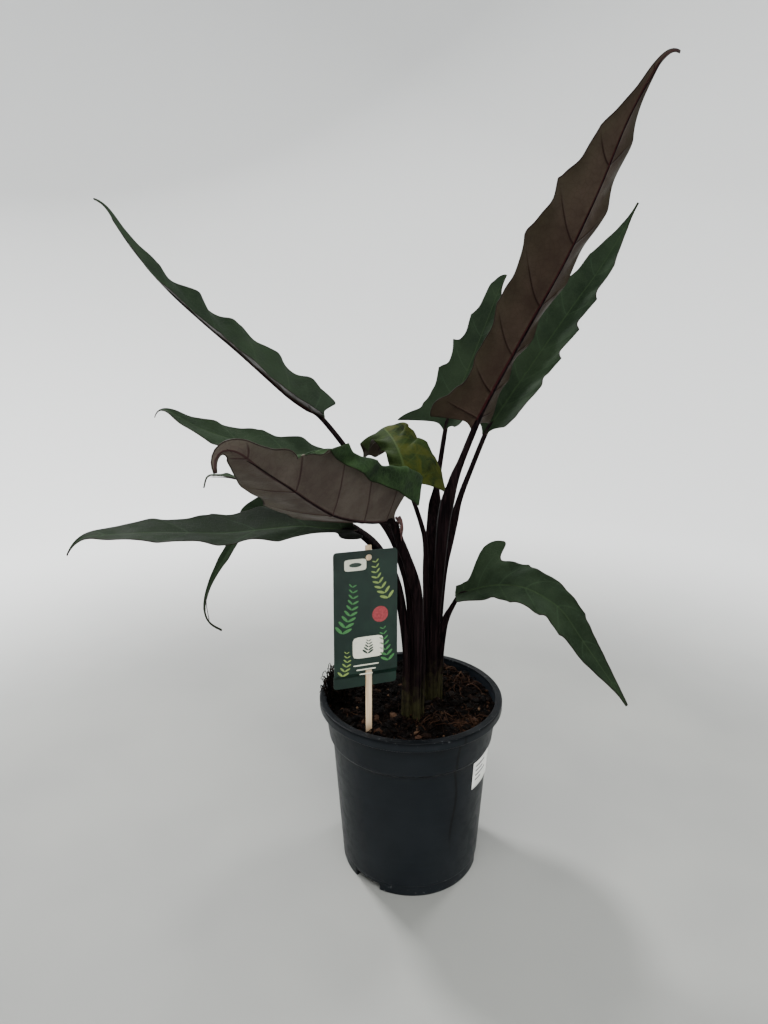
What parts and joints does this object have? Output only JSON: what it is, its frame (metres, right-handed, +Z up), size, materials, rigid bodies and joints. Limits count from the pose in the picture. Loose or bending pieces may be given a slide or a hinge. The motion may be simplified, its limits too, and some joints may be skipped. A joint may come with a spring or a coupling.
{
  "type": "potted alocasia plant",
  "caption": "Potted alocasia: long arrow-shaped wavy leaves on dark upright stalks in a round dark nursery pot of soil, with a plain tag on a stick and a small wall label.",
  "frame": {"origin": "centre of the pot's underside, on the floor it stands on", "axes": "+Z up, -Y towards the front of the plant, +X to its right"},
  "size_m": [0.5893, 0.432, 0.7662],
  "materials": {
    "pot_plastic": "satin",
    "soil": "rough",
    "stalk_dark": "satin",
    "leaf_green": "satin",
    "tag_card": "satin",
    "stick_wood": "matte",
    "label_paper": "matte"
  },
  "bodies": {
    "root": {"nursery_pot": "pot_plastic", "soil": "soil", "stalk_tall": "stalk_dark", "stalk_right_rear": "stalk_dark", "stalk_middle_rear": "stalk_dark", "stalk_upper_left": "stalk_dark", "stalk_left_rear": "stalk_dark", "stalk_front": "stalk_dark", "stalk_lower_left": "stalk_dark", "stalk_drooping": "stalk_dark", "stalk_hidden_left": "stalk_dark", "stalk_crinkled": "stalk_dark", "stalk_lower_right": "stalk_dark", "blade_tall": "leaf_green", "blade_right_rear": "leaf_green", "blade_middle_rear": "leaf_green", "blade_upper_left": "leaf_green", "blade_left_rear": "leaf_green", "blade_front": "leaf_green", "blade_lower_left": "leaf_green", "blade_drooping": "leaf_green", "blade_hidden_left": "leaf_green", "blade_crinkled": "leaf_green", "blade_lower_right": "leaf_green", "tag_card": "tag_card", "tag_stick": "stick_wood", "pot_label": "label_paper"}
  },
  "joints": []
}
